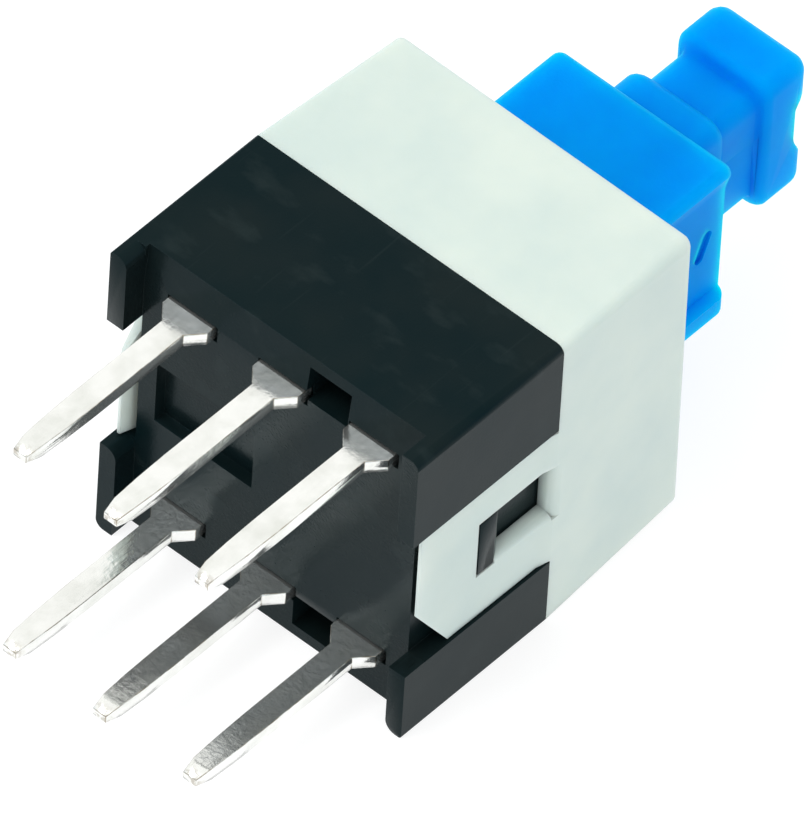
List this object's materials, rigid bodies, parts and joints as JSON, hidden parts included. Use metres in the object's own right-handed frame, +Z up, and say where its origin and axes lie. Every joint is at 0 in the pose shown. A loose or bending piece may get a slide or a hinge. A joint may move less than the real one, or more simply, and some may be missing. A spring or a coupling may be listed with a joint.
{
  "type": "momentary pushbutton switch",
  "caption": "Small square board-mount push switch with a sprung stepped button, snap-fitted shell and two rows of flat blade terminals.",
  "frame": {"origin": "centre of the board seating plane, on the push axis", "axes": "+X along the push axis towards the button head, +Z up as the switch lies on its side, Y across the two latch sides"},
  "size_m": [0.0205, 0.0086, 0.0086],
  "materials": {
    "base_plastic": "black moulded plastic with a fine satin spark texture",
    "shell_plastic": "natural white nylon, slightly translucent, satin",
    "plunger_plastic": "bright blue moulded plastic, satin gloss",
    "spring_steel": "drawn spring wire",
    "contact_bronze": "rolled springy bronze strip",
    "terminal_tin": "tin-plated stamped strip, softly bright with fine scuffs"
  },
  "bodies": {
    "housing": {"base": "base_plastic", "shell": "shell_plastic", "terminal_upper_closed": "terminal_tin", "terminal_upper_common": "terminal_tin", "terminal_upper_open": "terminal_tin", "terminal_lower_closed": "terminal_tin", "terminal_lower_common": "terminal_tin", "terminal_lower_open": "terminal_tin", "return_spring": "spring_steel"},
    "button": {"plunger": "plunger_plastic", "contact_clip_upper": "contact_bronze", "contact_clip_lower": "contact_bronze"}
  },
  "joints": [
    {"name": "button_press", "type": "slide", "parent": "housing", "child": "button", "axis": [-1, 0, 0], "range_m": [0, 0.0022], "stiffness_N_per_m": 1100, "springref_m": -0.0007, "deforming": ["return_spring"]}
  ]
}
